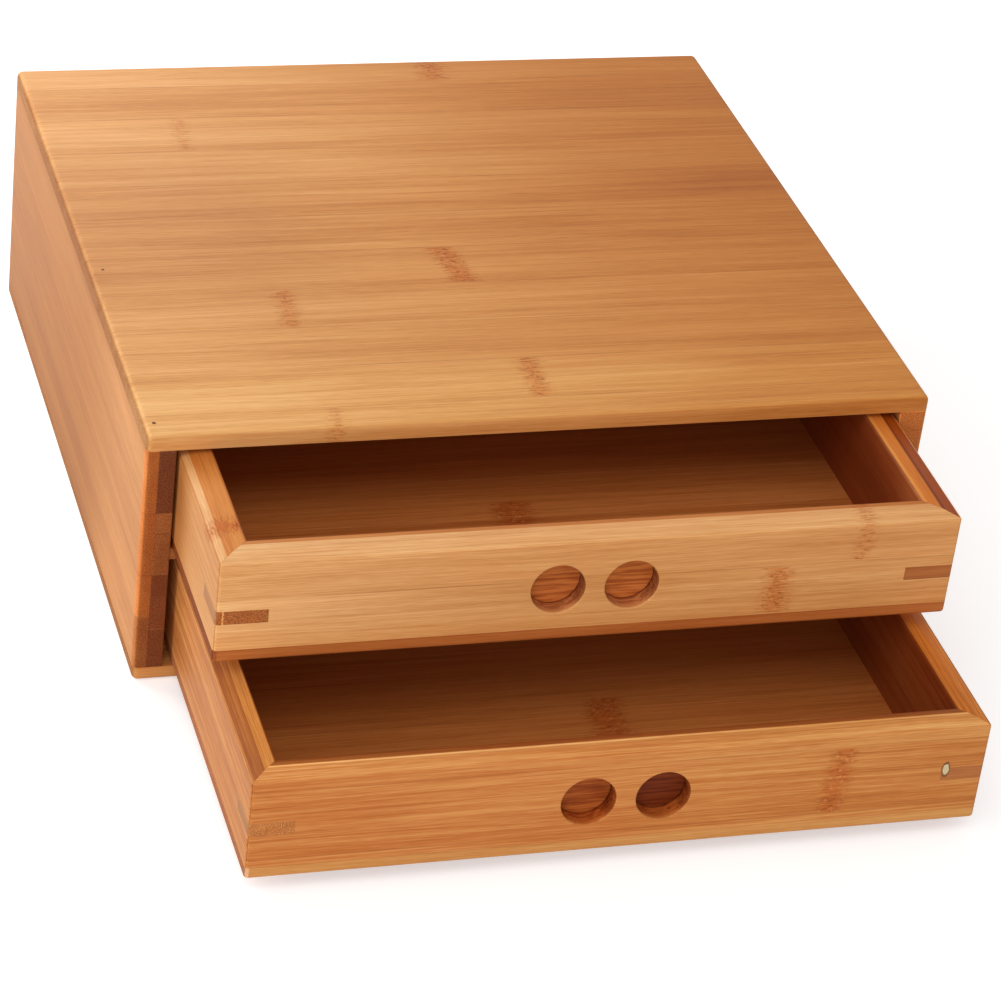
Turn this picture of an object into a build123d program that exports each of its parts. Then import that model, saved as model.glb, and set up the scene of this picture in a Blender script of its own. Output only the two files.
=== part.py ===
from build123d import *
import os

# Tea bag drawer box: a bamboo cabinet for the table top with two sliding drawers, in millimetres.
# X is the width, Y the depth with the front towards -Y, and Z is up. The origin is the centre of the
# cabinet's footprint, on its underside. The drawers are modelled part open, as the box is shown.

# Cabinet
CABINET_WIDTH = 300.0
CABINET_DEPTH = 292.0
CABINET_HEIGHT = 106.5
TOP_THICKNESS = 6.3
BOTTOM_THICKNESS = 6.0
SIDE_THICKNESS = 11.0
SHELF_THICKNESS = 5.0
SHELF_SETBACK = 4.0  # from the front of the cabinet to the shelf's front edge
BACK_THICKNESS = 5.0
BACK_INSET = 4.0  # from the rear edges of the boards to the back panel
HOUSING_DEPTH = 3.0  # how far the shelf and the back panel are let into the sides
CABINET_EASE = 2.5  # radius sanded on every outer edge of the glued-up cabinet
SHELF_EASE = 0.8  # radius on the shelf's front edge

# Drawers
RUNNING_GAP = 0.3  # between a drawer and the board it slides on
HEAD_GAP = 1.8  # between a drawer's rim and the board above it
REAR_GAP = 0.3  # left behind a closed drawer
FLOOR_THICKNESS = 5.0
RIM_DROP = 1.3  # how far the rim's outer slope falls to the outer face
RIM_INNER_EASE = 0.6
RIM_CREST_EASE = 3.0
RIM_OUTER_EASE = 1.0
DRAWER_EASE = 1.5  # radius on the drawers' upright corners and bottom edges

# Finger recesses, a pair in each drawer front
RECESS_DIAMETER = 20.0
RECESS_PITCH = 27.5
RECESS_DEPTH = 7.0
RECESS_RIM_EASE = 0.6

# Corner keys, one glued across each mitre
KEY_THICKNESS = 5.5

# What differs between the two drawers: how far each stands open, the gap between it and each side
# of the cabinet, its walls' thickness, the flat inner part of their rim, its keys' length along
# each outer face, and the height of its keys' and recesses' centres above its underside
DRAWERS = {
    "upper": {
        "opening": 69.0,
        "side_gap": 1.3,
        "wall": 12.2,
        "rim_flat": 6.5,
        "key_length": 19.0,
        "key_height": 18.7,
        "recess_height": 21.7,
    },
    "lower": {
        "opening": 128.0,
        "side_gap": 3.7,
        "wall": 10.3,
        "rim_flat": 4.9,
        "key_length": 16.5,
        "key_height": 21.2,
        "recess_height": 21.7,
    },
}

# Worked out from the sizes above
FRONT_Y = -CABINET_DEPTH / 2
REAR_Y = CABINET_DEPTH / 2
TOP_UNDERSIDE = CABINET_HEIGHT - TOP_THICKNESS
INNER_HALF_WIDTH = CABINET_WIDTH / 2 - SIDE_THICKNESS
HOUSED_WIDTH = 2 * (INNER_HALF_WIDTH + HOUSING_DEPTH)
BACK_PANEL_REAR_Y = REAR_Y - BACK_INSET
BACK_PANEL_FRONT_Y = BACK_PANEL_REAR_Y - BACK_THICKNESS
CELL_HEIGHT = (TOP_UNDERSIDE - BOTTOM_THICKNESS - SHELF_THICKNESS) / 2
SHELF_UNDERSIDE = BOTTOM_THICKNESS + CELL_HEIGHT
SHELF_TOP = SHELF_UNDERSIDE + SHELF_THICKNESS

DRAWER_LENGTH = BACK_PANEL_FRONT_Y - REAR_GAP - FRONT_Y
DRAWER_HEIGHT = CELL_HEIGHT - RUNNING_GAP - HEAD_GAP
DRAWER_UNDERSIDE = {"upper": SHELF_TOP + RUNNING_GAP, "lower": BOTTOM_THICKNESS + RUNNING_GAP}


def board(x_span, y_span, z_span):
    """A square-edged board between two places along each axis."""
    spans = (x_span, y_span, z_span)
    low = [min(span) for span in spans]
    size = [abs(span[1] - span[0]) for span in spans]
    return Pos(*low) * Box(*size, align=Align.MIN)


def cabinet_boards():
    """The six boards of the cabinet, with the outer edges of the whole eased alike."""
    half_width = CABINET_WIDTH / 2
    depth = (FRONT_Y, REAR_Y)
    outline = board((-half_width, half_width), depth, (0, CABINET_HEIGHT))
    outline = fillet(outline.edges(), CABINET_EASE)

    housed = (-HOUSED_WIDTH / 2, HOUSED_WIDTH / 2)
    shelf = board(housed, (FRONT_Y + SHELF_SETBACK, BACK_PANEL_FRONT_Y), (SHELF_UNDERSIDE, SHELF_TOP))
    back = board(housed, (BACK_PANEL_FRONT_Y, BACK_PANEL_REAR_Y), (BOTTOM_THICKNESS, TOP_UNDERSIDE))

    boards = {
        "top_board": board((-half_width, half_width), depth, (TOP_UNDERSIDE, CABINET_HEIGHT)) & outline,
        "bottom_board": board((-half_width, half_width), depth, (0, BOTTOM_THICKNESS)) & outline,
        "back_panel": back,
    }
    for name, side in (("left_side", -1), ("right_side", 1)):
        across = (side * half_width, side * INNER_HALF_WIDTH)
        upright = board(across, depth, (BOTTOM_THICKNESS, TOP_UNDERSIDE))
        boards[name] = (upright & outline) - shelf - back

    front_edges = shelf.edges().filter_by(Axis.X).group_by(Axis.Y)[0]
    boards["divider_shelf"] = fillet(front_edges, SHELF_EASE)
    return boards


def drawer_outline(width):
    """The block that a drawer is cut from, standing on z = 0 with its front at y = 0."""
    block = board((-width / 2, width / 2), (0, DRAWER_LENGTH), (0, DRAWER_HEIGHT))
    bottom_edges = block.edges().group_by(Axis.Z)[0]
    return fillet(bottom_edges + block.edges().filter_by(Axis.Z), DRAWER_EASE)


def wall_section(thickness, rim_flat):
    """Section of a drawer wall on the floor, with the outer face at x = 0 and the rim on top."""
    corners = [
        (0, FLOOR_THICKNESS),
        (thickness, FLOOR_THICKNESS),
        (thickness, DRAWER_HEIGHT),
        (thickness - rim_flat, DRAWER_HEIGHT),
        (0, DRAWER_HEIGHT - RIM_DROP),
    ]
    section = make_face(Polyline(*corners, close=True))
    eases = zip(corners[2:], (RIM_INNER_EASE, RIM_CREST_EASE, RIM_OUTER_EASE))
    for corner, radius in eases:
        vertex = section.vertices().sort_by_distance((*corner, 0))[0]
        section = fillet(vertex, radius)
    return section


def mitred_wall(length, thickness, rim_flat):
    """A wall with both ends mitred. Its outer face lies in y = 0 and faces -Y."""
    across = Plane(origin=(-length / 2, 0, 0), x_dir=(0, 1, 0), z_dir=(1, 0, 0))
    rail = extrude(across * wall_section(thickness, rim_flat), length)
    outer, inner = length / 2, length / 2 - thickness
    plan = Polyline((-outer, 0), (outer, 0), (inner, thickness), (-inner, thickness), close=True)
    return rail & extrude(make_face(plan), DRAWER_HEIGHT)


def corner_keys(width, length, height):
    """A drawer's four triangular keys at a given height of their centres, on square corners."""
    triangle = make_face(Polyline((0, 0), (length, 0), (0, length), close=True))
    blank = Pos(Z=height - KEY_THICKNESS / 2) * extrude(triangle, KEY_THICKNESS)
    corners = {
        "front_left": (-1, 0, 0),
        "front_right": (1, 0, 90),
        "back_right": (1, DRAWER_LENGTH, 180),
        "back_left": (-1, DRAWER_LENGTH, 270),
    }
    return {
        name: Pos(side * width / 2, y, 0) * Rot(Z=turn) * blank
        for name, (side, y, turn) in corners.items()
    }


def finger_recesses(height):
    """The two blind round holes in a drawer front, as solids to cut away."""
    centres = [((-1) ** i * RECESS_PITCH / 2, 0, height) for i in range(2)]
    bit = Rot(X=-90) * Cylinder(
        RECESS_DIAMETER / 2, RECESS_DEPTH, align=(Align.CENTER, Align.CENTER, Align.MIN)
    )
    return [Pos(*centre) * bit for centre in centres]


def drawer_parts(sizes):
    """The nine pieces of one drawer, standing on z = 0 with the front at y = 0."""
    half_width = INNER_HALF_WIDTH - sizes["side_gap"]
    width = 2 * half_width
    outline = drawer_outline(width)
    keys = corner_keys(width, sizes["key_length"], sizes["key_height"])
    across, along = (
        mitred_wall(length, sizes["wall"], sizes["rim_flat"]) for length in (width, DRAWER_LENGTH)
    )
    mid_length = DRAWER_LENGTH / 2

    walls = {
        "front": across,
        "back": Pos(Y=DRAWER_LENGTH) * Rot(Z=180) * across,
        "left_wall": Pos(-half_width, mid_length, 0) * Rot(Z=-90) * along,
        "right_wall": Pos(half_width, mid_length, 0) * Rot(Z=90) * along,
    }
    parts = {}
    for name, wall in walls.items():
        wall = wall & outline
        for key in keys.values():
            wall = wall - key
        parts[name] = wall

    front = parts["front"]
    for recess in finger_recesses(sizes["recess_height"]):
        front = front - recess
    mouths = front.edges().filter_by(GeomType.CIRCLE).group_by(Axis.Y)[0]
    parts["front"] = fillet(mouths, RECESS_RIM_EASE)

    parts["floor"] = board((-half_width, half_width), (0, DRAWER_LENGTH), (0, FLOOR_THICKNESS)) & outline
    for name, key in keys.items():
        parts[f"key_{name}"] = key & outline
    return parts


def tea_box():
    """Every piece of the box by its name, in its place."""
    pieces = cabinet_boards()
    for level, sizes in DRAWERS.items():
        place = Pos(0, FRONT_Y - sizes["opening"], DRAWER_UNDERSIDE[level])
        for name, part in drawer_parts(sizes).items():
            pieces[f"{level}_{name}"] = place * part
    return pieces


os.makedirs("parts", exist_ok=True)
for piece_name, piece in tea_box().items():
    piece.label = piece_name
    export_step(piece, f"parts/{piece_name}.step")
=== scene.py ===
"""Looks of the tea bag drawer box: carbonised bamboo boards, keyed drawers and a pale studio."""

import logging
import math
from abc import ABC, abstractmethod
from dataclasses import dataclass, field
from enum import Enum
from functools import reduce
from typing import Dict, List, Optional, Sequence, Tuple, Union

import bpy
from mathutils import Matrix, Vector

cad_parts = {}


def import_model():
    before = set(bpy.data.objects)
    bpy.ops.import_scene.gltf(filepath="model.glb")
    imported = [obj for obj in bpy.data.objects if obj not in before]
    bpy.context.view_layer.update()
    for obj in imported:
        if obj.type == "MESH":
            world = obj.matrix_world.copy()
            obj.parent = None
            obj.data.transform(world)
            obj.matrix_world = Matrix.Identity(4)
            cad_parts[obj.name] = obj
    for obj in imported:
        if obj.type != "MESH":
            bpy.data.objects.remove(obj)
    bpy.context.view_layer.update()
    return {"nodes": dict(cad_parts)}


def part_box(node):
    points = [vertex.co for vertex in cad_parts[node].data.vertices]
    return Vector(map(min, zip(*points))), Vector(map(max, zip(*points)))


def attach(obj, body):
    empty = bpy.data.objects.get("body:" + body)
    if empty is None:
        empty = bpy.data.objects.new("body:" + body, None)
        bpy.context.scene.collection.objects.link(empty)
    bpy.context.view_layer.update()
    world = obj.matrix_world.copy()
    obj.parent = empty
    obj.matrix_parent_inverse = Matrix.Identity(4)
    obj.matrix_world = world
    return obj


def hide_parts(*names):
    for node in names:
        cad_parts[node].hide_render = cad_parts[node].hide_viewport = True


log = logging.getLogger("tea_box")

Socket = bpy.types.NodeSocket
Value = Union[float, Socket]
Point = Tuple[float, float, float]
Rgb = Tuple[float, float, float]
Paint = Union[Rgb, Socket]
Inputs = Dict[Union[int, str], Union[Value, Tuple[float, ...]]]
Nodes = Dict[str, bpy.types.Object]
Span = Optional[Tuple[float, float]]

MM = 0.001  # a millimetre in Blender's metres
SPECULAR = 0.12  # oiled wood, hardly shiny
PLAIN: Rgb = (1.0, 1.0, 1.0)  # as a tint, it changes nothing
WHITE: Rgb = (1.0, 1.0, 1.0)


def linear(level: int) -> float:
    """A level from 0 to 255 on a screen, as linear light."""
    share = level / 255
    return share / 12.92 if share <= 0.04045 else ((share + 0.055) / 1.055) ** 2.4


def srgb(red: int, green: int, blue: int) -> Rgb:
    """A colour given as 0 to 255 on a screen, as linear light."""
    return linear(red), linear(green), linear(blue)


def rgba(colour: Paint) -> Union[Socket, Tuple[float, ...]]:
    """A colour for a node's input: another node's output, or a plain colour made opaque."""
    return colour if isinstance(colour, bpy.types.NodeSocket) else (*colour, 1.0)


def deselect_all() -> None:
    """Leaves nothing selected, so that an operator acts on its own piece alone."""
    bpy.ops.object.select_all(action="DESELECT")


class Grain(Enum):
    """Axes of a board: along its fibres, across its strips, and through its plies."""

    LYING_X = (0, 1, 2)
    LYING_Y = (1, 0, 2)
    UPRIGHT_X = (0, 2, 1)
    UPRIGHT_Y = (1, 2, 0)


class Ease(Enum):
    """How a ramp goes from 0 to 1: straight, or eased at both ends."""

    LINEAR = "LINEAR"
    SMOOTH = "SMOOTHSTEP"


class Mixing(Enum):
    """How two colours are mixed."""

    BLEND = "MIX"
    MULTIPLY = "MULTIPLY"


@dataclass(frozen=True)
class Knuckle:
    """The mark that a joint of the bamboo cane leaves across one strip, in millimetres.

    along is its place on the fibres' axis, low and high are the strip's edges, and slant is how
    far the mark moves along the fibres from the low edge to the high one.
    """

    along: float
    low: float
    high: float
    length: float = 9.0
    slant: float = 2.0
    strength: float = 1.0


@dataclass(frozen=True)
class Spot:
    """A small pit or chip in a surface, in millimetres in the box's own frame."""

    centre: Point
    size: Point
    colour: Rgb
    rim: Optional[Rgb] = None


@dataclass(frozen=True)
class Shade:
    """A place where the colour is darker or paler: a span along each axis, in millimetres.

    Some shades are the wood's uneven tone and some are painted light and shade. None is a span
    without end. tint multiplies the colour of the wood, soft is how far the shade fades out past its
    spans, the same way all round or along each axis, and streaks is how far it breaks up into
    streaks along the box's width.
    """

    tint: Rgb
    x: Span = None
    y: Span = None
    z: Span = None
    soft: Union[float, Point] = 0.4
    streaks: float = 0.0

    @property
    def fades(self) -> Point:
        """How far the shade fades out along each axis."""
        return self.soft if isinstance(self.soft, tuple) else (self.soft,) * 3


@dataclass(frozen=True)
class Rim:
    """Tints of one wall: its rim's flat part, slope, crest line and edge lines, then its two faces.

    Many are painted light and shade: pale lines, slopes and edges that face the lamps are painted
    highlights, and dark lines, slopes that turn away and the darker inner face are painted shade.
    flat_width is how far the flat part's tint reaches from the inner face, in millimetres, where
    that isn't as far as the flat part itself.
    """

    flat_width: Optional[float] = None
    flat: Rgb = PLAIN
    slope: Rgb = PLAIN
    crest: Rgb = PLAIN
    edge: Rgb = PLAIN
    inner_edge: Rgb = PLAIN
    # inside darkens the inner face: painted shade, partly a redder wood
    inside: Rgb = (0.74, 0.58, 0.46)
    outside: Rgb = PLAIN


@dataclass(frozen=True)
class Figure:
    """One layer of the wood's figure: noise in cells of a length and a width, in millimetres.

    swing is how far it moves the tone of the wood, from one extreme to the other.
    """

    length: float
    width: float
    detail: float = 0.0
    roughness: float = 0.5
    swing: float = 0.0


@dataclass(frozen=True)
class Speckle:
    """Specks of a colour: the levels of noise at which they start and are full, and their share."""

    start: float
    full: float
    share: float
    colour: Rgb


@dataclass(frozen=True)
class BambooFinish:
    """Tones and figure of one kind of board. Lengths are in millimetres."""

    dark: Rgb
    mid: Rgb
    light: Rgb
    strip_pitch: float = 28.7
    ply: float = 5.5
    ply_stagger: float = 0.0
    strip_variation: float = 0.2
    streak_variation: float = 0.6
    end_shade: float = 0.62
    wander: float = 2.2
    roughness: float = 0.5
    red: float = 0.35
    pore: float = 0.42

    def inputs(self) -> Inputs:
        """The finish as values for the bamboo group's inputs, whose names are those of its fields."""
        values = ((name.replace("_", " ").title(), value) for name, value in vars(self).items())
        return {name: rgba(value) if isinstance(value, tuple) else value for name, value in values}


PALE = BambooFinish(dark=srgb(182, 110, 52), mid=srgb(213, 147, 83), light=srgb(231, 174, 112))
SIDE = BambooFinish(
    dark=srgb(176, 106, 50),
    mid=srgb(206, 138, 76),
    light=srgb(226, 164, 100),
    strip_pitch=27.0,
    ply_stagger=9.0,
    end_shade=0.5,
    wander=5.0,
    streak_variation=0.4,
)
UPPER_DRAWER = BambooFinish(
    dark=srgb(186, 116, 58), mid=srgb(214, 150, 90), light=srgb(234, 180, 118)
)
LOWER_DRAWER = BambooFinish(
    dark=srgb(148, 74, 28),
    mid=srgb(188, 109, 51),
    light=srgb(214, 146, 82),
    strip_variation=0.3,
    streak_variation=1.0,
)
UPPER_FLOOR = BambooFinish(dark=srgb(168, 88, 36), mid=srgb(202, 120, 58), light=srgb(220, 146, 80))
LOWER_FLOOR = BambooFinish(dark=srgb(164, 84, 34), mid=srgb(200, 117, 55), light=srgb(218, 142, 76))
UPPER_KEY = BambooFinish(
    dark=srgb(138, 74, 36),
    mid=srgb(165, 94, 47),
    light=srgb(188, 115, 62),
    end_shade=1.08,
    pore=0.62,
)
LOWER_KEY = BambooFinish(
    dark=srgb(148, 82, 40), mid=srgb(176, 107, 58), light=srgb(198, 134, 78), end_shade=1.25
)

# Upper drawer: the front's paler slope and edge are painted light and its darker flat band painted
# shade; the left wall's pale slope and the right wall's pale inner and outer edges are painted
# highlights; the right wall's dark slope, dark crest line and inner face are painted shade.
UPPER_RIMS = {
    "front": Rim(
        flat_width=2.8, flat=(0.78, 0.56, 0.36), slope=(1.12, 1.18, 1.28), edge=(1.1, 1.15, 1.2)
    ),
    "left_wall": Rim(flat_width=8.9, flat=(1.04, 0.82, 0.52), slope=(1.36, 1.7, 2.3)),
    "right_wall": Rim(
        flat=(0.97, 0.6, 0.26),
        slope=(0.5, 0.18, 0.02),
        crest=(0.6, 0.5, 0.45),
        edge=(1.3, 1.4, 1.5),
        inner_edge=(1.1, 1.35, 1.65),
        inside=(0.33, 0.14, 0.09),
    ),
}
# Lower drawer: the front's paler slope, crest line and edge are painted highlights and its darker flat
# band painted shade; the left wall's pale outer edge and the right wall's pale inner edge are painted
# highlights; the right wall's dark outer edge and inner face are painted shade.
LOWER_RIMS = {
    "front": Rim(
        flat_width=3.1,
        flat=(0.58, 0.42, 0.28),
        slope=(1.26, 1.42, 1.56),
        crest=(1.35, 1.6, 1.9),
        edge=(1.1, 1.15, 1.2),
    ),
    "left_wall": Rim(
        flat=(1.35, 1.65, 1.7),
        slope=(0.95, 1.0, 1.05),
        edge=(1.3, 1.6, 2.0),
        outside=(1.22, 1.5, 1.76),
    ),
    "right_wall": Rim(
        flat=(1.42, 1.36, 0.66),
        slope=(1.34, 1.2, 0.52),
        edge=(0.6, 0.5, 0.45),
        inner_edge=(1.12, 1.25, 1.3),
        inside=(0.43, 0.26, 0.21),
    ),
}

RED_PATCH: Rgb = (0.96, 0.8, 0.66)
KNUCKLE_STAIN: Rgb = (0.88, 0.61, 0.42)
KNUCKLE_DARK = srgb(140, 68, 26)
KNUCKLE_PALE = srgb(236, 184, 128)
GLUE_LINE = srgb(150, 84, 42)
PIT = srgb(120, 70, 38)
CHIP = srgb(206, 188, 148)
CHIP_RIM = srgb(128, 78, 44)


class Tree:
    """A small hand for wiring shader nodes. Most of its methods add a node and return its output."""

    def __init__(self, nodes: bpy.types.NodeTree) -> None:
        """Keeps the node tree that the methods write to."""
        self.tree = nodes

    def feed(self, node: bpy.types.Node, inputs: Inputs) -> None:
        """Links or sets several of a node's inputs.

        Args:
            node: the node.
            inputs: other nodes' outputs and plain values, by the inputs' names or numbers.
        """
        for key, value in inputs.items():
            if isinstance(value, bpy.types.NodeSocket):
                self.tree.links.new(value, node.inputs[key])
            else:
                node.inputs[key].default_value = value

    def node(self, kind: str, inputs: Optional[Inputs] = None, **settings: object) -> bpy.types.Node:
        """Adds a node.

        Args:
            kind: the node's type.
            inputs: what its inputs get.
            **settings: its properties, by their names.

        Returns:
            The new node.
        """
        made = self.tree.nodes.new(kind)
        for name, setting in settings.items():
            setattr(made, name, setting)
        self.feed(made, inputs or {})
        return made

    def math(self, operation: str, first: Value, second: Value = 0.0) -> Socket:
        """One step of arithmetic on numbers."""
        return self.node("ShaderNodeMath", {0: first, 1: second}, operation=operation).outputs[0]

    def total(self, *terms: Value) -> Value:
        """The sum of several numbers."""
        return reduce(lambda first, second: self.math("ADD", first, second), terms)

    def times(self, *factors: Value) -> Value:
        """The product of several numbers."""
        return reduce(lambda first, second: self.math("MULTIPLY", first, second), factors)

    def swing(self, noise: Value, share: Value) -> Value:
        """Noise that is 0.5 on average, moved to 0 on average and scaled by a share."""
        return self.times(self.math("SUBTRACT", noise, 0.5), share)

    def ramp(self, value: Value, low: float, high: float, ease: Ease = Ease.SMOOTH) -> Socket:
        """Goes from 0 where a value is low to 1 where it is high, either way round."""
        inputs = {"Value": value, "From Min": low, "From Max": high}
        return self.node("ShaderNodeMapRange", inputs, interpolation_type=ease.value).outputs[0]

    def split(self, vector: Socket) -> Tuple[Socket, ...]:
        """The three numbers of a vector."""
        return tuple(self.node("ShaderNodeSeparateXYZ", {0: vector}).outputs)

    def join(self, x: Value, y: Value, z: Value) -> Socket:
        """A vector from three numbers."""
        return self.node("ShaderNodeCombineXYZ", {0: x, 1: y, 2: z}).outputs[0]

    def stretched(self, point: Sequence[Value], cell: Sequence[Value]) -> Socket:
        """A place measured in cells of the given lengths."""
        return self.join(*(self.math("DIVIDE", value, length) for value, length in zip(point, cell)))

    def noise(self, vector: Socket, detail: float = 0.0, roughness: float = 0.5) -> Socket:
        """Soft noise in cells of one unit, about 0.5 on average."""
        inputs = {"Vector": vector, "Scale": 1.0, "Detail": detail, "Roughness": roughness}
        return self.node("ShaderNodeTexNoise", inputs).outputs[0]

    def figure(self, point: Sequence[Value], figure: Figure) -> Socket:
        """One layer of the wood's figure, at a place given along the fibres first."""
        place = self.stretched(point, (figure.length, figure.width, figure.width))
        return self.noise(place, figure.detail, figure.roughness)

    def blend(self, share: Value, first: Paint, second: Paint, how: Mixing = Mixing.BLEND) -> Socket:
        """One colour turning into another, or multiplied by it, as far as share says."""
        inputs = {"Factor": share, 6: rgba(first), 7: rgba(second)}
        return self.node("ShaderNodeMix", inputs, data_type="RGBA", blend_type=how.value).outputs[2]

    def tint(self, share: Value, colour: Socket, tint: Paint) -> Socket:
        """A colour multiplied by another one, as far as share says."""
        return self.blend(share, colour, tint, Mixing.MULTIPLY)


@dataclass(frozen=True)
class Strips:
    """Where a place lies in a board that is glued up from strips, each an output of a node.

    count is the place in strips, number the strip's own number and chance its random one. still
    is the place in the cane that the strip was cut from, and bent the same with wandering fibres.
    """

    count: Socket
    number: Socket
    chance: Socket
    still: Sequence[Socket]
    bent: Sequence[Socket]


class BambooGroup:
    """The node group that all the bamboo shares.

    It is a solid texture in millimetres: fibre bundles run along the first axis, strips lie side by
    side on the second and plies on the third, so a board's ends show the same bundles as dots.
    """

    NAME = "bamboo"
    PLACING = ("Knuckle", "Endwise", "Strip Shift", "Ply Shift", "Seed")

    # How far apart in the cane two strips may have been cut, along and through it
    CANE_LENGTH = 500.0
    CANE_DEPTH = 90.0

    # How the fibres wander, and how they buckle at a joint of the cane
    BEND = Figure(110.0, 16.0)
    RIPPLE = Figure(5.0, 2.4)
    BUCKLE = 1.5

    # The wood's figure
    FINE = Figure(38.0, 0.5, detail=2.0, roughness=0.6, swing=0.85)
    STREAK = Figure(130.0, 2.4, detail=2.0, roughness=0.6)
    BROAD = Figure(240.0, 11.0, detail=1.0, swing=0.6)
    FLECK = Figure(6.0, 0.32, swing=0.3)
    CLOUD = Figure(90.0, 30.0, detail=1.0, swing=0.35)
    RED_FULL = 0.45
    RELIEF = Figure(30.0, 0.6, detail=1.0)
    GLOSS_SWING = 0.14

    # The cane's joints: a stain, and specks in it
    STAIN = (0.25, 0.85)
    STAIN_SHARE = 0.75
    DASH_REACH = (0.08, 0.6)
    DASH = Figure(3.2, 0.62)
    BEAD = Figure(1.7, 1.15, detail=1.0)
    DASHES = Speckle(0.52, 0.66, 0.36, KNUCKLE_DARK)
    DARK_BEADS = Speckle(0.6, 0.68, 0.68, KNUCKLE_DARK)
    PALE_BEADS = Speckle(0.38, 0.3, 0.25, KNUCKLE_PALE)

    # The glue between two strips: its line in millimetres, and where it shows
    GLUE_WIDTH = (0.4, 0.05)
    GLUE_PATCH = 60.0
    GLUE_SHOWS = (0.35, 0.65)
    GLUE_SHARE = 0.55

    # The end grain: what it keeps of the colour, how far its dark pores take that, and its tint
    END_DEPTH = 0.55
    END_PORES = (0.7, 0.35)
    END_PORE_SHARE = 0.6
    END_TINT = (0.86, 0.76)
    END_ROUGHNESS = 0.14

    def __init__(self) -> None:
        """Makes the group with its sockets and wires it."""
        self.group = bpy.data.node_groups.new(self.NAME, "ShaderNodeTree")
        self._sockets()
        self.t = Tree(self.group)
        self.given = self.t.node("NodeGroupInput").outputs
        self.strips = self._lay_strips()
        fine = self.t.figure(self.strips.bent, self.FINE)
        colour = self._wood(fine)
        colour = self._cane_joints(colour)
        colour = self._glue_lines(colour)
        colour = self._end_grain(colour)
        self._finish(colour, fine)

    def _sockets(self) -> None:
        """Gives the group its inputs, some from the board and some from its finish, and outputs."""
        inputs = {"Place": "Vector", **{name: "Float" for name in self.PLACING}}
        for name, value in PALE.inputs().items():
            inputs[name] = "Color" if isinstance(value, tuple) else "Float"
        outputs = {"Colour": "Color", "Roughness": "Float", "Height": "Float"}
        for way, sockets in (("INPUT", inputs), ("OUTPUT", outputs)):
            for name, kind in sockets.items():
                self.group.interface.new_socket(name, in_out=way, socket_type=f"NodeSocket{kind}")

    def _lay_strips(self) -> Strips:
        """Finds the strip and ply at a place, and cuts each strip from another part of the cane.

        Returns:
            The strip at a place, and the place in its cane.
        """
        t, given = self.t, self.given
        along, across, through = t.split(given["Place"])
        plies = t.math("DIVIDE", t.total(through, given["Ply Shift"]), given["Ply"])
        ply = t.math("FLOOR", plies)
        shifted = t.total(across, given["Strip Shift"], t.times(ply, given["Ply Stagger"]))
        count = t.math("DIVIDE", shifted, given["Strip Pitch"])
        number = t.math("FLOOR", count)
        roll = {"Vector": t.join(number, ply, given["Seed"])}
        dice = t.node("ShaderNodeTexWhiteNoise", roll, noise_dimensions="3D").outputs
        shift_along, shift_through, _ = t.split(dice["Color"])
        along = t.total(along, t.times(shift_along, self.CANE_LENGTH))
        through = t.total(through, t.times(shift_through, self.CANE_DEPTH))

        still = (along, across, through)
        drift = t.swing(t.figure(still, self.BEND), given["Wander"])
        buckle = t.times(t.swing(t.figure(still, self.RIPPLE), given["Knuckle"]), self.BUCKLE)
        bent = (along, t.total(across, drift, buckle), through)
        return Strips(count, number, dice["Value"], still, bent)

    def _wood(self, fine: Socket) -> Socket:
        """Colours the plain wood.

        Args:
            fine: the finest layer of its figure.

        Returns:
            The wood's colour.
        """
        t, given, strips = self.t, self.given, self.strips
        streak = t.figure(strips.bent, self.STREAK)
        broad = t.figure(strips.bent, self.BROAD)
        fleck = t.figure(strips.bent, self.FLECK)
        cloud = t.figure(strips.still, self.CLOUD)
        tone = t.total(
            0.5,
            t.swing(strips.chance, given["Strip Variation"]),
            t.swing(streak, given["Streak Variation"]),
            t.swing(broad, self.BROAD.swing),
            t.swing(fine, self.FINE.swing),
            t.swing(fleck, self.FLECK.swing),
            t.swing(cloud, self.CLOUD.swing),
        )
        colour = t.blend(t.ramp(tone, 0.0, 0.5, Ease.LINEAR), given["Dark"], given["Mid"])
        colour = t.blend(t.ramp(tone, 0.5, 1.0, Ease.LINEAR), colour, given["Light"])
        patches = t.total(t.swing(cloud, 1.0), t.swing(broad, 1.0))
        warm = t.times(t.ramp(patches, 0.0, self.RED_FULL), given["Red"])
        return t.tint(warm, colour, RED_PATCH)

    def _cane_joints(self, colour: Socket) -> Socket:
        """Stains and speckles the wood at the joints of the cane.

        Args:
            colour: the wood's colour.

        Returns:
            The colour with the joints in it.
        """
        t, knuckle = self.t, self.given["Knuckle"]
        stain = t.ramp(knuckle, *self.STAIN)
        colour = t.tint(t.times(stain, self.STAIN_SHARE), colour, KNUCKLE_STAIN)
        reach = t.ramp(knuckle, *self.DASH_REACH)
        dash = t.figure(self.strips.bent, self.DASH)
        bead = t.figure(self.strips.still, self.BEAD)
        for mask, noise, specks in (
            (reach, dash, self.DASHES),
            (stain, bead, self.DARK_BEADS),
            (stain, bead, self.PALE_BEADS),
        ):
            share = t.times(mask, t.ramp(noise, specks.start, specks.full), specks.share)
            colour = t.blend(share, colour, specks.colour)
        return colour

    def _glue_lines(self, colour: Socket) -> Socket:
        """Draws the glue between the strips, where it shows.

        Args:
            colour: the wood's colour.

        Returns:
            The colour with the lines in it.
        """
        t, given, strips = self.t, self.given, self.strips
        share = t.math("FRACT", strips.count)
        edge = t.math("MINIMUM", share, t.math("SUBTRACT", 1.0, share))
        gap = t.times(edge, given["Strip Pitch"])
        along = t.math("DIVIDE", strips.still[0], self.GLUE_PATCH)
        patchy = t.noise(t.join(along, strips.number, given["Seed"]))
        shows = t.ramp(patchy, *self.GLUE_SHOWS)
        glue = t.times(t.ramp(gap, *self.GLUE_WIDTH), shows, self.GLUE_SHARE)
        return t.blend(glue, colour, GLUE_LINE)

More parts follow.
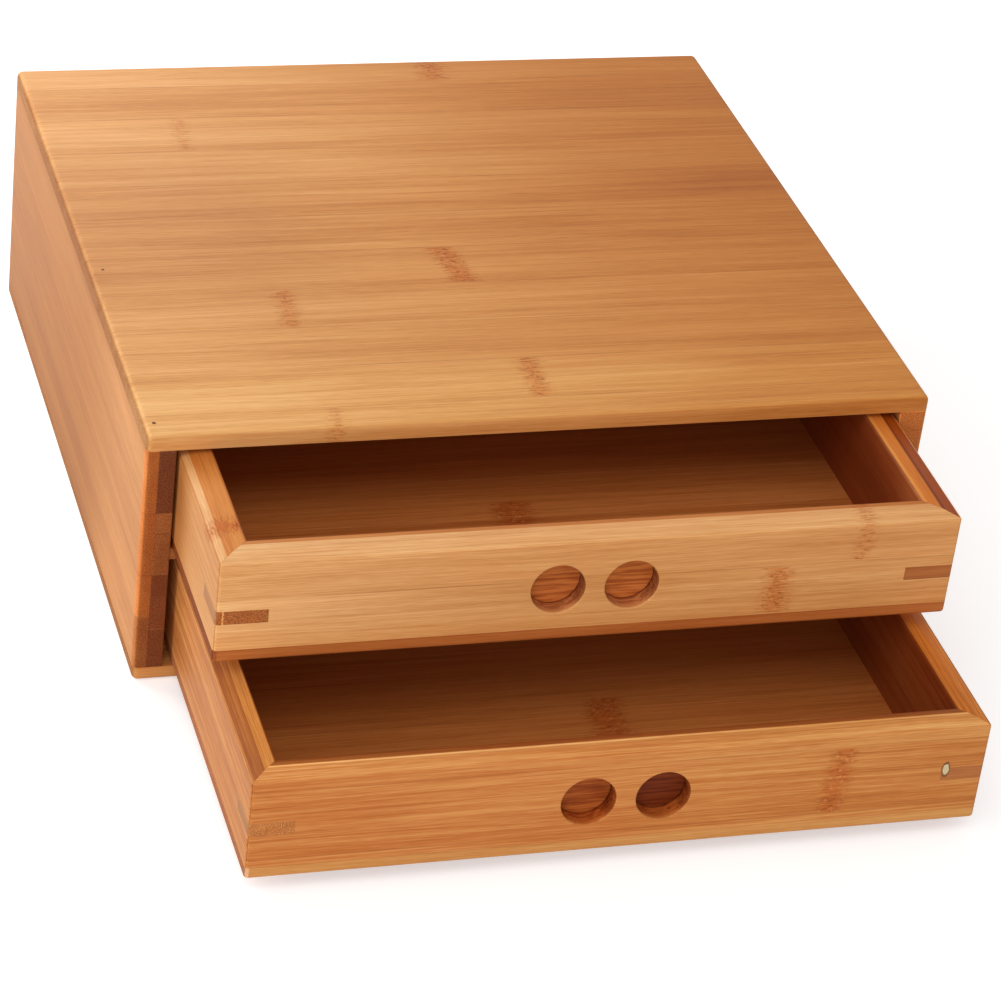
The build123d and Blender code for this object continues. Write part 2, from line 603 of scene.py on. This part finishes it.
    def _end_grain(self, colour: Socket) -> Socket:
        """Darkens the wood where its fibres are cut across.

        Args:
            colour: the wood's colour.

        Returns:
            The colour with the end grain in it.
        """
        t, given = self.t, self.given
        _, across, through = self.strips.still
        cell = (1.0, given["Pore"], given["Pore"])
        pores = t.noise(t.stretched((0.0, across, through), cell), detail=1.0)
        open_wood = t.times(t.ramp(pores, *self.END_PORES), self.END_PORE_SHARE)
        depth = t.times(given["End Shade"], t.total(self.END_DEPTH, open_wood))
        green, blue = (t.times(depth, share) for share in self.END_TINT)
        return t.blend(given["Endwise"], colour, t.tint(1.0, colour, t.join(depth, green, blue)))

    def _finish(self, colour: Socket, fine: Socket) -> None:
        """Feeds the group's outputs.

        Args:
            colour: the finished colour.
            fine: the finest layer of the wood's figure.
        """
        t, given = self.t, self.given
        rough_ends = t.times(given["Endwise"], self.END_ROUGHNESS)
        roughness = t.total(given["Roughness"], t.swing(fine, self.GLOSS_SWING), rough_ends)
        relief = t.figure(self.strips.still, self.RELIEF)
        t.node("NodeGroupOutput", {"Colour": colour, "Roughness": roughness, "Height": relief})


@dataclass
class Board:
    """One bamboo board: its CAD node, how its grain lies, and the marks on it."""

    node: str
    finish: BambooFinish
    grain: Grain
    slot: str
    arris: float = 0.3
    strip_shift: float = 0.0
    ply_shift: float = 0.0
    knuckles: Sequence[Knuckle] = ()
    spots: Sequence[Spot] = ()
    shades: Sequence[Shade] = ()
    seed: int = 0

    # The mesh: what counts as one point, one face, a smooth edge and an arris
    MERGE = 0.002 * MM
    FLAT_ANGLE = math.radians(0.2)
    SMOOTH_ANGLE = math.radians(32)
    ARRIS_ANGLE = math.radians(35)

    # The material: where a face turns into end grain, and the relief of the fibres
    ENDWISE = (0.55, 0.9)
    RELIEF = 0.1 * MM
    RELIEF_STRENGTH = 0.5

    # Ragged outlines of the marks, the fade of a cane's joint at its strip's edges, and a spot's rim
    KNUCKLE_CELL = (30.0, 1.7, 1.0)
    KNUCKLE_RAGGED = 0.8
    KNUCKLE_CORE = 0.1
    KNUCKLE_FADE = 0.6
    STREAKS = Figure(16.0, 1.3, detail=2.0)
    STREAK_LEVELS = (0.4, 0.62)
    SPOT_OUTLINE = Figure(0.8, 0.8)
    SPOT_FADE = 0.25
    SPOT_RIM = 1.9

    def build(self, source: bpy.types.Object, body: str, group: bpy.types.NodeTree) -> bpy.types.Object:
        """Makes the board, with its own arrises and material, in the place of its CAD node.

        Args:
            source: the CAD node's object.
            body: the body that the board rides on.
            group: the node group with the bamboo in it.

        Returns:
            The finished board.
        """
        piece = self._copy(source)
        self._ease(piece)
        piece.data.materials.clear()
        piece.data.materials.append(self.material(group))
        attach(piece, body)
        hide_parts(self.node)
        return piece

    def _copy(self, source: bpy.types.Object) -> bpy.types.Object:
        """Copies the CAD node's mesh and joins its loose triangles into whole faces.

        Args:
            source: the CAD node's object.

        Returns:
            The copy, selected and active.
        """
        piece = bpy.data.objects.new(f"{self.node}_board", source.data.copy())
        bpy.context.scene.collection.objects.link(piece)
        deselect_all()
        piece.select_set(True)
        bpy.context.view_layer.objects.active = piece
        bpy.ops.mesh.customdata_custom_splitnormals_clear()
        bpy.ops.object.mode_set(mode="EDIT")
        bpy.ops.mesh.select_all(action="SELECT")
        bpy.ops.mesh.remove_doubles(threshold=self.MERGE)
        bpy.ops.mesh.dissolve_limited(angle_limit=self.FLAT_ANGLE)
        bpy.ops.object.mode_set(mode="OBJECT")
        return piece

    def _ease(self, piece: bpy.types.Object) -> None:
        """Bevels the board's arrises and smooths its round faces.

        Args:
            piece: the board, selected and active.
        """
        bpy.ops.object.shade_smooth_by_angle(angle=self.SMOOTH_ANGLE)
        bpy.ops.object.modifier_add(type="BEVEL")
        bevel = piece.modifiers[-1]
        bevel.width = self.arris * MM
        bevel.segments = 2
        bevel.limit_method = "ANGLE"
        bevel.angle_limit = self.ARRIS_ANGLE
        bevel.harden_normals = True
        bpy.ops.object.modifier_apply(modifier=bevel.name)

    def material(self, group: bpy.types.NodeTree) -> bpy.types.Material:
        """Makes the board's own material.

        Args:
            group: the node group with the bamboo in it.

        Returns:
            The material, with its fibres laid along the board.
        """
        made = bpy.data.materials.new(self.node)
        made.use_nodes = True
        t = Tree(made.node_tree)
        coordinates = t.node("ShaderNodeTexCoord").outputs
        scaled = t.node("ShaderNodeMapping", {"Vector": coordinates["Object"], "Scale": (1 / MM,) * 3})
        place = t.split(scaled.outputs[0])
        wood = self._wood(t, group, place, t.split(coordinates["Normal"])).outputs
        relief = {"Strength": self.RELIEF_STRENGTH, "Distance": self.RELIEF, "Height": wood["Height"]}
        look = {
            "Base Color": self._marked(t, place, wood["Colour"]),
            "Roughness": wood["Roughness"],
            "Specular IOR Level": SPECULAR,
            "Normal": t.node("ShaderNodeBump", relief).outputs["Normal"],
        }
        t.feed(made.node_tree.nodes["Principled BSDF"], look)
        return made

    def _wood(
        self, t: Tree, group: bpy.types.NodeTree, place: Sequence[Socket], facing: Sequence[Socket]
    ) -> bpy.types.Node:
        """Adds the bamboo with the board's finish and grain.

        Args:
            t: writes to the material's tree.
            group: the node group with the bamboo in it.
            place: the place on the board, in millimetres.
            facing: the direction that the surface faces.

        Returns:
            The group's node.
        """
        endwise = t.math("ABSOLUTE", facing[self.grain.value[0]])
        inputs = {
            "Place": t.join(*(place[axis] for axis in self.grain.value)),
            "Knuckle": self._knuckle_mask(t, place) if self.knuckles else 0.0,
            "Endwise": t.ramp(endwise, *self.ENDWISE),
            "Strip Shift": self.strip_shift,
            "Ply Shift": self.ply_shift,
            "Seed": float(self.seed),
            **self.finish.inputs(),
        }
        return t.node("ShaderNodeGroup", inputs, node_tree=group)

    def _marked(self, t: Tree, place: Sequence[Socket], colour: Socket) -> Socket:
        """Lays the board's shades and spots over its wood.

        Args:
            t: writes to the material's tree.
            place: the place on the board, in millimetres.
            colour: the wood's colour.

        Returns:
            The colour with the marks on it.
        """
        for shade in self.shades:
            colour = t.tint(self._shade_mask(t, place, shade), colour, shade.tint)
        for spot in self.spots:
            if spot.rim:
                colour = t.blend(self._spot_mask(t, place, spot, self.SPOT_RIM), colour, spot.rim)
            colour = t.blend(self._spot_mask(t, place, spot, 1.0), colour, spot.colour)
        return colour

    def _knuckle_mask(self, t: Tree, place: Sequence[Socket]) -> Value:
        """Marks out the joints of the cane.

        Args:
            t: writes to the material's tree.
            place: the place on the board, in millimetres.

        Returns:
            How near the joints are, from 0 to 1.
        """
        mask: Value = 0.0
        along, across = (place[axis] for axis in self.grain.value[:2])
        ragged = t.noise(t.stretched((along, across, 0.0), self.KNUCKLE_CELL), detail=1.0)
        for mark in self.knuckles:
            middle = (mark.low + mark.high) / 2
            lean = mark.slant / (mark.high - mark.low)
            off = t.total(
                along,
                -mark.along,
                t.times(t.math("SUBTRACT", across, middle), -lean),
                t.swing(ragged, mark.length * self.KNUCKLE_RAGGED),
            )
            core = mark.length * self.KNUCKLE_CORE
            near = t.ramp(t.math("ABSOLUTE", off), mark.length, core, Ease.LINEAR)
            inside = t.times(
                t.ramp(across, mark.low, mark.low + self.KNUCKLE_FADE),
                t.ramp(across, mark.high, mark.high - self.KNUCKLE_FADE),
            )
            mask = t.math("MAXIMUM", mask, t.times(near, inside, mark.strength))
        return mask

    def _shade_mask(self, t: Tree, place: Sequence[Socket], shade: Shade) -> Value:
        """Marks out one shaded place.

        Args:
            t: writes to the material's tree.
            place: the place on the board, in millimetres.
            shade: the shade.

        Returns:
            1 inside the shade, fading to 0 outside.
        """
        mask: Value = 1.0
        for value, span, fade in zip(place, (shade.x, shade.y, shade.z), shade.fades):
            if span is not None:
                low, high = span
                mask = t.times(mask, t.ramp(value, low - fade, low), t.ramp(value, high + fade, high))
        if shade.streaks:
            streaks = t.ramp(t.figure(place, self.STREAKS), *self.STREAK_LEVELS)
            mask = t.times(mask, t.total(1.0 - shade.streaks, t.times(streaks, shade.streaks)))
        return mask

    def _spot_mask(self, t: Tree, place: Sequence[Socket], spot: Spot, reach: float) -> Socket:
        """Marks out one spot, with a ragged outline.

        Args:
            t: writes to the material's tree.
            place: the place on the board, in millimetres.
            spot: the spot.
            reach: the square of how far out the outline lies, as a share of the spot's half size.

        Returns:
            1 inside the outline, and 0 outside.
        """
        offsets = [
            t.math("DIVIDE", t.math("SUBTRACT", value, middle), extent / 2)
            for value, middle, extent in zip(place, spot.centre, spot.size)
        ]
        squares = t.total(*(t.times(offset, offset) for offset in offsets))
        ragged = t.total(squares, t.figure(place, self.SPOT_OUTLINE), -0.5)
        return t.ramp(ragged, reach + self.SPOT_FADE, reach - self.SPOT_FADE)


class Assembly(ABC):
    """A part of the box that moves as one body and is built of boards."""

    @property
    @abstractmethod
    def body(self) -> str:
        """The body that the boards ride on."""

    @abstractmethod
    def boards(self) -> List[Board]:
        """The boards, with their finishes and marks."""

    def build(self, nodes: Nodes, group: bpy.types.NodeTree) -> List[bpy.types.Object]:
        """Builds the boards over their CAD nodes, with the bamboo that the group holds."""
        return [board.build(nodes[board.node], self.body, group) for board in self.boards()]


@dataclass
class Cabinet(Assembly):
    """The outer case: six boards, with the marks that the photograph shows on them.

    Lengths are in millimetres. board_joint is where two strips of the top and bottom boards meet,
    side_joint is the same for the sides, and the plies are spans across the left side's front edge.
    pits lists small pits in the top, each by its place across and along the box, width and length.
    """

    board_joint: float = -131.9
    side_joint: float = 20.0
    inner_ply: Tuple[float, float] = (-145.0, -138.0)
    outer_ply: Tuple[float, float] = (-151.0, -145.4)
    pits: Sequence[Tuple[float, ...]] = ((-145.9, -136.6, 1.6, 1.6), (-144.3, -25.0, 1.2, 1.4))
    knuckles: Sequence[Knuckle] = (
        Knuckle(along=-92.3, low=69.0, high=97.4, strength=0.5, length=8.0),
        Knuckle(along=-79.8, low=-74.2, high=-46.1, strength=0.65, slant=1.5),
        Knuckle(along=-7.4, low=-45.5, high=-17.4, slant=-4.0),
        Knuckle(along=1.5, low=-131.6, high=-103.5, strength=0.7),
        Knuckle(along=27.0, low=126.7, high=146.0, strength=0.75, length=12.0),
        Knuckle(along=-79.0, low=-146.5, high=-132.2, strength=0.5),
    )

    @property
    def body(self) -> str:
        """The body that the case's boards ride on."""
        return "cabinet"

    def boards(self) -> List[Board]:
        """Lists the case's six boards.

        Returns:
            The top and bottom, the two sides, the back and the shelf between the drawers.
        """
        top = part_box("top_board")[1].z / MM
        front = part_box("left_side")[0].y / MM
        shelf_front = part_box("divider_shelf")[0].y / MM
        pits = [Spot((x, y, top), (width, length, 3.0), PIT) for x, y, width, length in self.pits]
        lying = {"grain": Grain.LYING_X, "slot": "board_bamboo"}
        outer = {**lying, "strip_shift": -self.board_joint}
        side = {"grain": Grain.UPRIGHT_Y, "slot": "side_bamboo", "strip_shift": -self.side_joint}
        return [
            Board(
                "top_board",
                PALE,
                knuckles=self.knuckles,
                spots=pits,
                shades=self._top_tones(front),
                seed=4,
                **outer,
            ),
            Board("bottom_board", PALE, shades=[self._edge((0.85, 0.78, 0.7), front)], seed=9, **outer),
            Board("left_side", SIDE, ply_shift=150.0, shades=self._left_tones(front), seed=3, **side),
            Board(
                "right_side",
                SIDE,
                ply_shift=-139.0,
                shades=[self._edge((1.8, 1.5, 1.3), front)],
                seed=5,
                **side,
            ),
            Board("back_panel", PALE, Grain.UPRIGHT_X, "board_bamboo", seed=11),
            Board(
                "divider_shelf",
                PALE,
                shades=[self._edge((0.8, 0.7, 0.65), shelf_front)],
                seed=12,
                **lying,
            ),
        ]

    @staticmethod
    def _top_tones(front: float) -> Tuple[Shade, ...]:
        """Lists the tints of the top board: painted light and shade, and uneven tone.

        Args:
            front: the place of the case's front edges.

        Returns:
            The shades, the last one on the board's front edge.
        """
        return (
            # paler towards the left: a painted pool of light and sheen
            Shade((1.08, 1.16, 1.3), x=(-200.0, -145.0), soft=120.0),
            # darker towards the right and the far right corner: a painted falloff of light, partly the
            # wood's tone
            Shade((0.86, 0.7, 0.48), x=(150.0, 200.0), soft=230.0),
            Shade((0.9, 0.84, 0.74), x=(110.0, 200.0), y=(60.0, 200.0), soft=130.0),
            Shade((0.87, 0.82, 0.8), x=(-160.0, -90.0), y=(-25.0, 45.0), soft=60.0),
            # paler along the front: painted light
            Shade((1.12, 1.22, 1.26), y=(-200.0, -125.0), soft=30.0),
            Shade((0.78, 0.68, 0.62), y=(front - 1.0, front + 0.3), soft=1.2),
        )

    def _left_tones(self, front: float) -> Tuple[Shade, ...]:
        """Lists the tints of the left side: its plies' tones, and painted light and shade on its face.

        Args:
            front: the place of the case's front edges.

        Returns:
            The shades: the plies on the front edge, the inner one first, and then the face: a painted
            falloff of light that darkens it towards the back, and painted shade along its bottom.
        """
        end = (front - 1.0, front + 3.5)
        return (
            Shade((0.54, 0.4, 0.48), x=self.inner_ply, y=end, z=(74.0, 101.0)),
            Shade((1.05, 0.92, 0.95), x=self.inner_ply, y=end, z=(47.4, 73.4)),
            Shade((0.66, 0.48, 0.52), x=self.inner_ply, y=end, z=(23.4, 46.8)),
            Shade((0.62, 0.44, 0.44), x=self.inner_ply, y=end, z=(5.0, 22.8)),
            Shade((1.2, 0.9, 0.68), x=self.outer_ply, y=end, z=(29.0, 101.0)),
            Shade((0.9, 0.72, 0.64), x=self.outer_ply, y=end, z=(5.0, 28.4)),
            # painted falloff of light towards the back, and painted shade along the bottom towards the
            # back
            Shade((0.75, 0.66, 0.38), y=(-20.0, 200.0), soft=100.0),
            Shade((0.84, 0.8, 0.7), y=(-40.0, 200.0), z=(-20.0, 10.0), soft=50.0),
        )

    @staticmethod
    def _edge(tint: Rgb, front: float) -> Shade:
        """A tint for a board's front edge, at its place in the box's depth."""
        return Shade(tint, y=(front - 1.0, front + 0.7), soft=0.3)


@dataclass
class Drawer(Assembly):
    """One drawer: four mitred walls on a floor panel, with a key across each corner.

    Lengths are in millimetres. wall_joint is the height at which two strips of the walls meet,
    rim_flat is the width of the flat inner part of the rim, and recess_height is how high the
    finger recesses' centres are above the drawer's underside. recess_floors are the tints of the
    left recess's floor and of the right one's, and recess_bore that of the bores' walls: partly
    painted light and shade in the recesses, partly darker, redder wood. knuckles and shades are
    listed by piece; some shades are painted light and shade.
    """

    level: str
    walls: BambooFinish
    floor: BambooFinish
    keys: BambooFinish
    rims: Dict[str, Rim]
    wall_joint: float
    rim_flat: float
    recess_floors: Tuple[Rgb, Rgb]
    recess_bore: Rgb
    floor_edge: Rgb
    floor_side: Rgb
    recess_depth: float = 7.0
    recess_height: float = 21.7
    recess_radius: float = 10.0
    chips: Sequence[Spot] = ()
    knuckles: Dict[str, Sequence[Knuckle]] = field(default_factory=dict)
    shades: Dict[str, Sequence[Shade]] = field(default_factory=dict)
    seed: int = 0

    # Widths of the arrises on the drawer's three kinds of piece
    WALL_ARRIS = 0.15
    FLOOR_ARRIS = 0.25
    KEY_ARRIS = 0.1

    # Tints of the painted shadow line round a recess's floor, and of the streaks in the recess
    RECESS_LINE = (0.5, 0.42, 0.4)
    RECESS_STREAKS = (0.66, 0.54, 0.5)

    @property
    def body(self) -> str:
        """The body that the drawer's pieces ride on."""
        return f"{self.level}_drawer"

    def boards(self) -> List[Board]:
        """Lists the drawer's nine pieces, each with random numbers of its own.

        Returns:
            The front, the floor, the other walls and the keys.
        """
        return [
            self._wall("front", Grain.UPRIGHT_X, self.seed),
            self._panel(self.seed + 1),
            self._wall("back", Grain.UPRIGHT_X, self.seed + 2),
            self._wall("left_wall", Grain.UPRIGHT_Y, self.seed + 3),
            self._wall("right_wall", Grain.UPRIGHT_Y, self.seed + 4),
            self._key("front_left", Grain.LYING_Y, self.seed + 5),
            self._key("front_right", Grain.LYING_X, self.seed + 6),
            self._key("back_left", Grain.LYING_X, self.seed + 7),
            self._key("back_right", Grain.LYING_Y, self.seed + 8),
        ]

    def _node(self, piece: str) -> str:
        """The CAD node of one of the drawer's pieces."""
        return f"{self.level}_{piece}"

    def _wall(self, name: str, grain: Grain, seed: int) -> Board:
        """Describes one of the four mitred walls.

        Args:
            name: the wall's name in the drawer.
            grain: how its grain lies.
            seed: picks its random numbers.

        Returns:
            The wall.
        """
        is_front = name == "front"
        return Board(
            self._node(name),
            self.walls,
            grain,
            f"{self.level}_drawer_bamboo",
            arris=self.WALL_ARRIS,
            strip_shift=-self.wall_joint,
            knuckles=self.knuckles.get(name, ()),
            spots=self.chips if is_front else (),
            shades=[
                *(self._recesses() if is_front else ()),
                *self._rim(name),
                *self.shades.get(name, ()),
            ],
            seed=seed,
        )

    def _panel(self, seed: int) -> Board:
        """Describes the floor panel, whose edges show under the walls.

        Args:
            seed: picks its random numbers.

        Returns:
            The floor panel.
        """
        left, front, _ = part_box(self._node("front"))[0] / MM
        return Board(
            self._node("floor"),
            self.floor,
            Grain.LYING_X,
            "floor_bamboo",
            arris=self.FLOOR_ARRIS,
            knuckles=self.knuckles.get("floor", ()),
            shades=[
                Shade(self.floor_edge, y=(front - 1.0, front + 0.9), soft=0.5),
                Shade(self.floor_side, x=(left - 1.0, left + 0.9), soft=0.5),
            ],
            seed=seed,
        )

    def _key(self, corner: str, grain: Grain, seed: int) -> Board:
        """Describes the key across one corner.

        Args:
            corner: the corner's name.
            grain: how the key's grain lies.
            seed: picks its random numbers.

        Returns:
            The key.
        """
        return Board(
            self._node(f"key_{corner}"),
            self.keys,
            grain,
            f"{self.level}_keys",
            arris=self.KEY_ARRIS,
            spots=self.chips,
            shades=self.shades.get("key", ()),
            seed=seed,
        )

    def _rim(self, name: str) -> List[Shade]:
        """Lists the tints of one wall's faces and rim, from the inside outwards.

        Args:
            name: the wall's name in the drawer.

        Returns:
            A shade for each tint that changes something.
        """
        low, high = (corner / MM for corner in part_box(self._node(name)))
        left_low, left_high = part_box(self._node("left_wall"))
        inner = (left_high.x - left_low.x) / MM
        axis, outer, inward = {
            "front": ("y", low.y, 1),
            "back": ("y", high.y, -1),
            "left_wall": ("x", low.x, 1),
            "right_wall": ("x", high.x, -1),
        }[name]
        rim = self.rims.get(name, Rim())
        crest = inner - (rim.flat_width or self.rim_flat)
        over = high.z + 1.0
        top = (high.z - 1.5, over)
        # Each band tints one part of the wall from the inner face outwards; many are painted light and
        # shade.
        bands = (
            (rim.inside, inner - 0.5, inner + 0.5, (low.z, over), 0.3),
            (rim.inner_edge, inner - 1.9, inner + 0.3, (high.z - 1.0, over), 0.4),
            (rim.flat, crest + 0.3, inner - 0.5, top, 0.3),
            (rim.crest, crest - 0.5, crest + 0.3, top, 0.5),
            (rim.slope, 0.8, crest, top, 0.3),
            (rim.edge, -0.2, 0.7, top, 0.4),
            (rim.outside, -0.5, 0.2, (low.z, top[0]), 0.3),
        )
        made = []
        for tint, start, end, height, soft in bands:
            if tint != PLAIN:
                edges = sorted(outer + inward * depth for depth in (start, end))
                made.append(Shade(tint, z=height, soft=soft, **{axis: tuple(edges)}))
        return made

    def _recesses(self) -> List[Shade]:
        """Lists the tints of the two finger recesses, partly painted light and shade.

        Returns:
            Shades for the bores, the painted shadow lines round their floors, the floors, and streaks
            in both.
        """
        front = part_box(self._node("front"))[0].y / MM
        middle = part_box(self._node("floor"))[0].z / MM + self.recess_height
        reach = self.recess_radius + 1.0
        height = (middle - reach, middle + reach)
        floor = front + self.recess_depth
        left, right, both = (-30.0, 0.0), (0.0, 30.0), (-30.0, 30.0)
        made = [
            Shade(self.recess_bore, x=both, y=(front + 0.8, floor - 0.2), z=height, soft=0.2),
            Shade(self.RECESS_LINE, x=both, y=(floor - 0.7, floor - 0.2), z=height, soft=0.3),
        ]
        for tint, width in zip(self.recess_floors, (left, right)):
            made.append(Shade(tint, x=width, y=(floor - 0.05, floor + 0.5), z=height, soft=0.1))
        deep = (front + 3.0, floor + 0.5)
        made.append(Shade(self.RECESS_STREAKS, x=both, y=deep, z=height, soft=2.0, streaks=1.0))
        return made


@dataclass(frozen=True)
class Lamp:
    """One soft studio lamp, in metres and watts."""

    name: str
    place: Point
    size: Tuple[float, float]
    power: float
    aim: Point = (0.0, -0.05, 0.05)


@dataclass
class Studio:
    """The pale floor, the white background, the lamps and the camera at the photograph's view.

    Lengths are in metres, but for the lens and its sensor in millimetres, and turns in degrees.
    glow is the light that the floor adds to what the camera sees of it, near the object and far
    from it, and glow_span is where it changes from the one to the other.
    """

    camera_place: Point = (-0.39744, -1.24318, 0.80170)
    camera_turn: Point = (57.6264, -6.0777, -15.3540)
    lens: float = 133.416
    sensor: float = 36.0
    clip_start: float = 0.05
    floor_size: float = 8.0
    floor_drop: float = 0.1 * MM
    floor_colour: Rgb = (0.82, 0.82, 0.82)
    floor_roughness: float = 0.9
    glow: Tuple[float, float] = (0.47, 0.62)
    glow_span: Tuple[float, float] = (0.5, 1.5)
    ambient: float = 0.5
    lamps: Sequence[Lamp] = (
        Lamp("window", (-0.52, 0.42, 0.5), (0.5, 0.4), power=2.5, aim=(0.0, 0.1, 0.1)),
        Lamp("rear_window", (-0.15, 0.95, 0.5), (0.6, 0.3), power=1.8, aim=(-0.05, 0.05, 0.1)),
        Lamp("side_fill", (-1.3, -0.5, 0.5), (0.7, 0.5), power=4.0),
        Lamp("front_fill", (-0.45, -2.0, 0.42), (1.2, 0.6), power=11.5),
        Lamp("overhead_fill", (-0.3, -1.0, 1.6), (0.9, 0.9), power=5.0),
    )

    def build(self) -> None:
        """Sets up everything round the object."""
        self._camera()
        self._floor()
        self._background()
        for lamp in self.lamps:
            self._lamp(lamp)
        bpy.context.scene.view_settings.view_transform = "Standard"

    def _camera(self) -> None:
        """Places a long lens above and to the left of the box's front."""
        data = bpy.data.cameras.new("camera")
        data.lens = self.lens
        data.sensor_width = self.sensor
        data.clip_start = self.clip_start
        camera = bpy.data.objects.new("camera", data)
        camera.location = self.camera_place
        camera.rotation_euler = [math.radians(turn) for turn in self.camera_turn]
        bpy.context.scene.collection.objects.link(camera)
        bpy.context.scene.camera = camera

    def _floor(self) -> None:
        """Lays a plain floor that shows white and keeps the object's shadow."""
        deselect_all()
        bpy.ops.mesh.primitive_plane_add(size=self.floor_size, location=(0, 0, -self.floor_drop))
        floor = bpy.context.object
        floor.name = "studio_floor"
        floor.data.materials.append(self._floor_material())

    def _floor_material(self) -> bpy.types.Material:
        """Makes a matt pale surface with a glow that only what sees it gets.

        Returns:
            The floor's material.
        """
        made = bpy.data.materials.new("studio_floor")
        made.use_nodes = True
        t = Tree(made.node_tree)
        shader = made.node_tree.nodes["Principled BSDF"]
        look = {"Base Color": rgba(self.floor_colour), "Roughness": self.floor_roughness}
        t.feed(shader, {**look, "Specular IOR Level": 0.0})
        x, y, _ = t.split(t.node("ShaderNodeTexCoord").outputs["Object"])
        away = t.math("SQRT", t.total(t.times(x, x), t.times(y, y)))
        near, far = self.glow
        strength = t.total(near, t.times(t.ramp(away, *self.glow_span), far - near))
        light = {"Color": rgba(WHITE), "Strength": t.times(self._seen(t), strength)}
        glow = t.node("ShaderNodeEmission", light)
        both = t.node("ShaderNodeAddShader", {0: shader.outputs[0], 1: glow.outputs[0]})
        t.feed(made.node_tree.nodes["Material Output"], {"Surface": both.outputs[0]})
        return made

    def _background(self) -> None:
        """Makes the world white where it is seen, and a dimmer even light on the object."""
        world = bpy.data.worlds.new("studio")
        world.use_nodes = True
        bpy.context.scene.world = world
        t = Tree(world.node_tree)
        strength = t.total(t.times(self._seen(t), 1.0 - self.ambient), self.ambient)
        t.feed(world.node_tree.nodes["Background"], {"Color": rgba(WHITE), "Strength": strength})

    @staticmethod
    def _seen(t: Tree) -> Socket:
        """Tells what is seen from what only sheds light.

        Args:
            t: writes to a material's tree or the world's.

        Returns:
            1 for what the camera sees, straight, in a glossy surface or through a clear one.
        """
        path = t.node("ShaderNodeLightPath").outputs
        seen = t.math("MAXIMUM", path["Is Camera Ray"], path["Is Glossy Ray"])
        return t.math("MAXIMUM", seen, path["Is Transmission Ray"])

    @staticmethod
    def _lamp(lamp: Lamp) -> None:
        """Hangs one area lamp and turns it to its aim.

        Args:
            lamp: the lamp.
        """
        data = bpy.data.lights.new(lamp.name, "AREA")
        data.shape = "RECTANGLE"
        data.size, data.size_y = lamp.size
        data.energy = lamp.power
        placed = bpy.data.objects.new(lamp.name, data)
        placed.location = lamp.place
        direction = Vector(lamp.aim) - Vector(lamp.place)
        placed.rotation_euler = direction.to_track_quat("-Z", "Y").to_euler()
        bpy.context.scene.collection.objects.link(placed)


def upper_drawer() -> Drawer:
    """Describes the upper drawer, with its marks.

    Returns:
        The drawer.
    """
    return Drawer(
        "upper",
        walls=UPPER_DRAWER,
        floor=UPPER_FLOOR,
        keys=UPPER_KEY,
        rims=UPPER_RIMS,
        wall_joint=81.7,
        rim_flat=6.5,
        recess_floors=((0.98, 0.64, 0.42), (1.0, 0.65, 0.42)),
        recess_bore=(0.95, 0.78, 0.8),
        floor_edge=(0.72, 0.6, 0.54),
        floor_side=(0.72, 0.6, 0.54),
        knuckles={
            "front": (
                Knuckle(along=101.0, low=81.9, high=99.0, length=8.0, strength=0.55),
                Knuckle(along=69.5, low=61.2, high=81.5, length=10.0, strength=0.8, slant=0.0),
            ),
            "left_wall": (Knuckle(along=-194.0, low=94.0, high=100.0, strength=0.8),),
            "floor": (Knuckle(along=-8.0, low=-160.0, high=-132.0, length=12.0),),
        },
        shades={
            "front": (
                # paler towards the left: a painted pool of light; darker along the bottom: painted
                # shade
                Shade((1.1, 1.2, 1.36), x=(-200.0, -130.0), soft=120.0),
                Shade((0.94, 0.85, 0.74), z=(50.0, 62.0), soft=12.0),
            ),
            "left_wall": (
                # darker towards the back: painted shade cast by the case
                Shade((0.78, 0.66, 0.52), x=(-150.0, -137.2), y=(-150.0, 150.0), soft=24.0),
            ),
            "right_wall": (
                # paler at the top front of the inner face: painted light falling over the front wall
                Shade(
                    (1.6, 2.1, 2.5),
                    x=(125.0, 126.0),
                    y=(-215.0, -203.0),
                    z=(94.0, 97.4),
                    soft=(0.3, 30.0, 12.0),
                ),
            ),
            "key": (
                Shade((2.0, 2.8, 3.2), x=(-135.2, -134.8), soft=0.25),
                Shade((1.2, 1.5, 1.8), x=(-138.5, -137.4), soft=0.2),
                Shade((0.98, 1.12, 1.26), x=(-150.0, -110.0)),
            ),
        },
        seed=20,
    )


def lower_drawer() -> Drawer:
    """Describes the lower drawer, with its marks.

    Returns:
        The drawer.
    """
    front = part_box("lower_front")[0].y / MM
    return Drawer(
        "lower",
        walls=LOWER_DRAWER,
        floor=LOWER_FLOOR,
        keys=LOWER_KEY,
        rims=LOWER_RIMS,
        wall_joint=43.0,
        rim_flat=4.9,
        recess_floors=((1.1, 0.96, 0.84), (0.44, 0.25, 0.22)),
        recess_bore=(1.08, 0.82, 0.64),
        floor_edge=(1.02, 1.42, 1.8),
        floor_side=(1.3, 1.6, 2.9),
        chips=(Spot(centre=(120.4, front, 29.4), size=(2.4, 6.0, 5.0), colour=CHIP, rim=CHIP_RIM),),
        knuckles={
            "front": (
                Knuckle(along=78.9, low=14.2, high=42.8, length=8.5, slant=2.5, strength=0.85),
            ),
            "floor": (Knuckle(along=16.2, low=-220.0, high=-192.0, length=12.0),),
        },
        shades={
            "front": (Shade((1.04, 1.16, 1.2), x=(60.0, 200.0), soft=80.0),),
            "key": (Shade((0.99, 1.2, 1.28), x=(-150.0, -110.0)),),
        },
        seed=40,
    )


def main() -> None:
    """Builds the boards over the frame, then the studio, and logs each board's faces."""
    logging.basicConfig(level=logging.INFO, format="%(name)s: %(message)s")
    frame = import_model()
    group = BambooGroup().group
    for assembly in (Cabinet(), upper_drawer(), lower_drawer()):
        for piece in assembly.build(frame["nodes"], group):
            log.info("built %s, %d faces", piece.name, len(piece.data.polygons))
    Studio().build()


if __name__ == "__main__":
    main()
